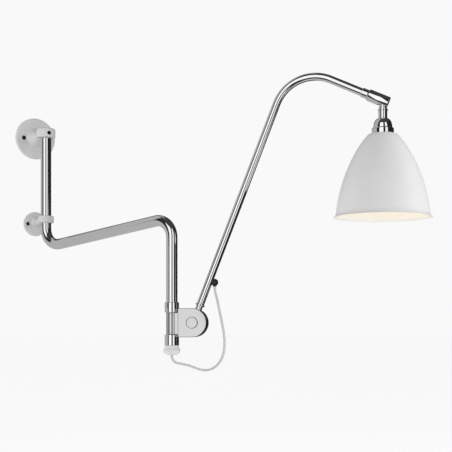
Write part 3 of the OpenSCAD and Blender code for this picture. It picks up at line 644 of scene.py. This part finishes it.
# --- Ball joint --------------------------------------------------------------------------
# At the arm's tip: a chromed ring, then a slotted cup that rolls about the tip, with a
# spring-loaded ball inside whose stem comes out through the slot and carries the shade.
ball = Vector(joint["head_tilt"]["pos_m"])
cup_r, cup_hollow_r = 9.5, 8.1
stem_r, ball_r = 4.95, 8
slot_r, slot_deep = 6.4, 14
tip_ring = turned("tip_ring", [(arm_r, -36.7), (6.9, -36.7), (7.5, -36.1), (7.5, -26.7), (7, -26.1),
                               (arm_r, -26.1), (arm_r, -36.7)], ball, tip_way, across, 56)
fit(tip_ring, chrome, "upper_arm", "chrome", "tip_ring")
swivel_cup = turned("swivel_cup", [(0, -25.8), (8.1, -25.8), (8.8, -25.5), (cup_r, -24.2),
                                   (cup_r, 9.2)] + arc((cup_r - 0.8, 9.2), 0.8, 0, 90, 4)
                    + [(6.7, 10), (6.7, 4.6), (cup_hollow_r, 4.2), (cup_hollow_r, -20), (0, -20)],
                    ball, tip_way, across)
stem_way = tip_way.cross(across)
if stem_way.z > 0:
    stem_way = -stem_way
slot_end = rod("slot_end", slot_r * MM, ball, ball + stem_way * slot_deep * MM, 56)
bpy.ops.object.select_all(action="DESELECT")
bpy.ops.mesh.primitive_cube_add(size=1, location=ball + (stem_way + tip_way) * slot_deep / 2 * MM)
slot_cut = bpy.context.active_object
slot_axes = Matrix((stem_way, across, stem_way.cross(across))).transposed()
slot_cut.rotation_euler = slot_axes.to_euler()
slot_cut.scale = (slot_deep * MM, 2 * slot_r * MM, slot_deep * MM)
settle(slot_cut, "slot_cut")
cut_away(swivel_cup, slot_end)
cut_away(swivel_cup, slot_cut)
settle(swivel_cup, "swivel_cup")
fit(swivel_cup, chrome, "swivel_cup", "chrome", "swivel_cup")
coat(nylon, "ball_seat")
DOWN = -UP
ball_stem = turned("ball_stem", arc((0, 0), ball_r, -90, 39.2, 20)
                   + [(6.2, 12.8), (5.8, 13.2), (stem_r, 13.2), (stem_r, 33.1), (0, 33.1)],
                   ball, DOWN, outward)
fit(ball_stem, chrome, "ball_stem", "chrome", "ball_stem")
spin_ring = turned("spin_ring", [(stem_r, 13.2), (7.6, 13.2), (8, 13.6), (8, 15.8), (7.6, 16.2),
                                 (stem_r, 16.2), (stem_r, 13.2)], ball, DOWN, outward, 56)
fit(spin_ring, chrome, "ball_stem", "chrome", "spin_ring")

# --- Head: neck, dome and gallery ----------------------------------------------------------
# Spun and turned brass, chromed: a straight neck, a bell-shaped dome over the lampholder,
# and the gallery ring that grips the shade. They spin on the stem together.
neck_foot, neck_end, dome_end, gallery_end = 16.4, 28.9, 43.9, 53.8   # below the ball
head_neck_r, dome_r, gallery_r = 7.2, 15.4, 17.8
sheet = 1.2
head_neck = turned("head_neck", [(5, neck_foot), (6.85, neck_foot), (head_neck_r, 16.75),
                                 (head_neck_r, neck_end), (5, neck_end), (5, neck_foot)],
                   ball, DOWN, outward, 56)
fit(head_neck, chrome, "shade_head", "chrome", "head_neck")


def dome_curve(inset, angles):
    """A quarter of an ellipse from the neck out to the dome's rim, set in by the wall."""
    wide, tall = dome_r - head_neck_r - inset, dome_end - neck_end - inset
    return [(head_neck_r + wide * math.sin(math.radians(a)),
             dome_end - tall * math.cos(math.radians(a))) for a in angles]


dome = turned("dome_cover", [(5.2, neck_end)] + dome_curve(0, range(0, 91, 6))
              + dome_curve(sheet, range(90, -1, -6)) + [(5.2, neck_end + sheet), (5.2, neck_end)],
              ball, DOWN, outward)
fit(dome, chrome, "shade_head", "chrome", "dome_cover")
gallery = turned("shade_gallery", [(10.6, dome_end), (dome_r, dome_end)]
                 + arc((dome_r, 46.3), 2.4, -90, 0, 7)
                 + [(gallery_r, 53.4), (17.5, gallery_end), (16.4, gallery_end), (16.4, 46.5),
                    (15.4, 45.3), (10.6, 45.3), (10.6, dome_end)], ball, DOWN, outward)
fit(gallery, chrome, "shade_head", "chrome", "shade_gallery")

# --- Shade -----------------------------------------------------------------------------------
# Spun aluminium, 1.2 mm thick, in a tall bell with a small flared lip. Outside it has a
# pale grey satin lacquer, and inside a white one.
shade_lacquer = finish("shade_lacquer", (0.80, 0.795, 0.795), 0.42, mottle=(25, 0.012),
                       smears=(15, 0.05), bump=(1100, 0.035), IOR=1.45)
inside_white = finish("inside_white", (0.86, 0.86, 0.83), 0.5, mottle=(25, 0.015),
                      bump=(900, 0.03), IOR=1.45)
crown_r, foot_r = 20.9, 75
bell_len, lip_len, lip_out = 123.9, 10.5, 4.98
ring_hole_r = 14.2
facing_down = -0.6                  # a face that looks down by more than this
lip_z = ball.z - 180 * MM           # and lies below this is the lip's edge
poles = [Vector(p) for p in ((23.6, 1), (48.6, 27.3), (69.3, bell_len - 47), (foot_r, bell_len))]


def bell(t):
    """A point of the shade's outer curve, from its crown to the foot of the bell."""
    return (poles[0] * (1 - t) ** 3 + poles[1] * 3 * t * (1 - t) ** 2
            + poles[2] * 3 * t * t * (1 - t) + poles[3] * t ** 3)


outer = [Vector((crown_r, 0))] + [bell(k / 40) for k in range(41)]
outer += [Vector((foot_r + lip_out - lip_out * math.cos(math.radians(a)),
                  bell_len + lip_len * math.sin(math.radians(a)))) for a in range(10, 91, 8)]
inner = [Vector((p.x - sheet, p.y + (sheet if p.y < 4 else 0))) for p in outer]
profile = [(ring_hole_r, 0)] + [tuple(p) for p in outer] + [tuple(p) for p in reversed(inner)]
profile += [(ring_hole_r, sheet), (ring_hole_r, 0)]
shade = turned("shade", [(r, h + gallery_end) for r, h in profile], ball, DOWN, outward, 128)
fit(shade, shade_lacquer, "shade_head", "shade_paint", "shade")
shade.data.materials.append(inside_white)
axis_at = Vector((ball.x, ball.y, 0))
for face in shade.data.polygons:
    inward = face.normal.dot(Vector((face.center.x, face.center.y, 0)) - axis_at) < 0
    lip = face.normal.z < facing_down and face.center.z < lip_z
    face.material_index = 1 if inward or lip else 0
coat(white_plastic, "shade_ring")

# --- Lampholder and bulb -----------------------------------------------------------------------
# A white heat-proof holder hangs from the gallery, with brass contacts. The bulb is an
# opal globe with a nickel cap and a lit filament column.
brass = finish("brass", (0.75, 0.55, 0.25), 0.25, 1.0, mottle=(90, 0.06), smears=(50, 0.08))
nickel = finish("nickel", (0.62, 0.6, 0.57), 0.25, 1.0, mottle=(90, 0.05), smears=(50, 0.08))
coat(white_plastic, "lampholder")
coat(brass, "holder_contacts")
coat(nickel, "bulb_cap")
glow = finish("glow", (1.0, 0.86, 0.62), 0.4, mottle=(120, 0.05), Emission_Strength=6.0,
              Emission_Color=(1, 0.74, 0.42, 1))
coat(glow, "bulb_filament")
opal_glass = finish("opal_glass", (0.93, 0.9, 0.84), 0.12, mottle=(30, 0.02), smears=(25, 0.04),
                    bump=(300, 0.01), IOR=1.5, Transmission_Weight=0.35, Emission_Strength=0.5,
                    Emission_Color=(1, 0.83, 0.6, 1))
globe_r, globe_z, glass_wall = 22.5, 117, 1
globe = turned("bulb_glass", [(6.9, 88)] + arc((0, globe_z), globe_r, -68, 90, 24)
               + arc((0, globe_z), globe_r - glass_wall, 90, -68, 24) + [(5.9, 88), (6.9, 88)],
               ball, DOWN, outward)
fit(globe, opal_glass, "shade_head", "bulb_glass", "bulb_glass")

# --- Floor ---------------------------------------------------------------------------------
# A plain pale floor well below the lamp, which isn't part of the object. It is kept out of
# the chrome's reflections, and glows a little, so that it stays as pale as the backdrop.
floor_z = -0.85
bpy.ops.object.select_all(action="DESELECT")
bpy.ops.mesh.primitive_plane_add(size=60, location=(0, 0, floor_z))
floor = bpy.context.active_object
floor.name = "floor"
floor_pale = finish("floor_pale", (0.5, 0.5, 0.5), 0.9, mottle=(2, 0.01), bump=(30, 0.01),
                    Emission_Strength=0.70, Emission_Color=(1, 1, 1, 1))
floor.data.materials.append(floor_pale)
floor.visible_glossy = False

# --- Light -------------------------------------------------------------------------------------
# Soft studio light: an even white surround, a large soft box from the right, a small one
# from the left, and the bulb's own warm light. The chrome reflects a surround of tall
# white screens with dark gaps between them, which lights nothing else.
backdrop, surround = 0.947, 0.48
grey = 0.47
dark = 0.02
bpy.context.scene.view_settings.view_transform = "Standard"
world = bpy.data.worlds.new("studio")
bpy.context.scene.world = world
world.use_nodes = True
tree = world.node_tree
tree.nodes.clear()
studio_link = tree.links.new


def arithmetic(operation, a, b):
    """A sum of two values, each of which is a number or comes from another node."""
    made = tree.nodes.new("ShaderNodeMath")
    made.operation = operation
    for socket, value in zip(made.inputs, (a, b)):
        if isinstance(value, (int, float)):
            socket.default_value = value
        else:
            studio_link(value, socket)
    return made.outputs[0]


def shades_by(factor, steps, blue=1.0):
    """A grey that goes through the steps, each as (place from 0 to 1, value)."""
    made = tree.nodes.new("ShaderNodeValToRGB")
    studio_link(factor, made.inputs["Fac"])
    elements = made.color_ramp.elements
    while len(elements) < len(steps):
        elements.new(0.5)
    for element, (position, value) in zip(elements, steps):
        element.position, element.color = position, (value, value, value * blue, 1)
    return made.outputs["Color"]


def mixed(factor, a, b):
    """One colour where the factor is 0, and the other where it is 1."""
    made = tree.nodes.new("ShaderNodeMix")
    made.data_type = "RGBA"
    for socket, value in ((0, factor), (6, a), (7, b)):
        studio_link(value, made.inputs[socket])
    return made.outputs[2]


def background(strength, colour=None):
    """A light of that strength, white unless it is given a colour."""
    made = tree.nodes.new("ShaderNodeBackground")
    made.inputs["Strength"].default_value = strength
    made.inputs["Color"].default_value = (1, 1, 1, 1)
    if colour is not None:
        studio_link(colour, made.inputs["Color"])
    return made.outputs[0]


def choose(factor, a, b):
    """One light where the factor is 0, and the other where it is 1."""
    made = tree.nodes.new("ShaderNodeMixShader")
    for socket, value in enumerate((factor, a, b)):
        studio_link(value, made.inputs[socket])
    return made.outputs[0]


ray = tree.nodes.new("ShaderNodeLightPath")
place = tree.nodes.new("ShaderNodeTexCoord")
turn = tree.nodes.new("ShaderNodeMapping")
turn.inputs["Rotation"].default_value = (0, 0, view_turn)
studio_link(place.outputs["Generated"], turn.inputs["Vector"])
split = tree.nodes.new("ShaderNodeSeparateXYZ")
studio_link(turn.outputs["Vector"], split.inputs["Vector"])

# Bearing round the lamp: 0.5 is straight behind the camera, 0 and 1 straight behind the lamp.
# The climb goes from 0, straight down, through 0.5, level, to 1, straight up.
bearing = arithmetic("ARCTAN2", split.outputs["X"],
                     arithmetic("MULTIPLY", split.outputs["Y"], -1))
bearing = arithmetic("ADD", arithmetic("DIVIDE", bearing, 2 * math.pi), 0.5)
climb = arithmetic("ADD", arithmetic("MULTIPLY", split.outputs["Z"], 0.5), 0.5)

# The screens, each as (degrees round from behind the camera, brightness)
bands = [(-180, grey), (-76, grey), (-73, dark), (-46, dark), (-42, 1.1), (-4, 1.1), (-1, 0.01),
         (17, 0.01), (20, 1.05), (42, 1.0), (47, dark), (180, dark)]
screens = shades_by(bearing, [(angle / 360 + 0.5, value) for angle, value in bands], blue=1.01)

# Below and above the screens: a dark gap over a light floor, and a dim ceiling. To the
# left it is plain grey, with a dark strip high up behind the lamp.
shelf = shades_by(climb, [(0.0, 0.6), (0.03, 0.6), (0.05, 0.03), (1.0, 0.05)])
at_screens = shades_by(climb, [(0.26, 0.0), (0.28, 1.0), (0.80, 1.0), (0.83, 0.0)])
front = mixed(at_screens, shelf, screens)
plain_grey = shades_by(climb, [(0.0, grey), (0.95, grey), (0.97, 0.06)])
strip = shades_by(climb, [(0.6, grey), (0.64, 0.05), (0.88, 0.05), (0.92, grey)])
behind = shades_by(bearing, [(0.0, 1.0), (0.08, 1.0), (0.1, 0.0)])
plain_grey = mixed(behind, plain_grey, strip)
in_front = mixed(shades_by(climb, [(0.535, 0.0), (0.545, 1.0)]),
                 shades_by(bearing, [(0.317, 0.0), (0.327, 1.0)]),
                 shades_by(bearing, [(0.288, 0.0), (0.294, 1.0)]))
studio = mixed(in_front, plain_grey, front)

lit = choose(ray.outputs["Is Glossy Ray"], background(surround), background(1.0, studio))
lit = choose(ray.outputs["Is Camera Ray"], lit, background(backdrop))
studio_link(lit, tree.nodes.new("ShaderNodeOutputWorld").inputs["Surface"])


def soft_box(name, at, aim, size, power):
    """A square white light that isn't seen itself, aimed at a point."""
    towards = Vector(aim) - Vector(at)
    bpy.ops.object.light_add(type="AREA", location=at,
                             rotation=towards.to_track_quat("-Z", "Y").to_euler())
    lamp = bpy.context.active_object
    lamp.name = name
    lamp.data.shape, lamp.data.size, lamp.data.energy = "SQUARE", size, power
    lamp.visible_camera = lamp.visible_glossy = False


soft_box("key", (1.6, -1.9, 0.5), (0.25, -0.35, -0.1), 1.2, 20)
soft_box("fill", (-0.6, -0.2, 0.0), (0, -0.05, -0.06), 0.25, 2.3)
bpy.ops.object.light_add(type="POINT", location=ball + DOWN * 0.145 + Vector((0.03, -0.017, 0)))
bulb_light = bpy.context.active_object
bulb_light.name = "bulb_light"
bulb_light.data.energy, bulb_light.data.color = 0.04, (1, 0.66, 0.34)
bulb_light.data.shadow_soft_size = 0.02
bulb_light.visible_camera = False
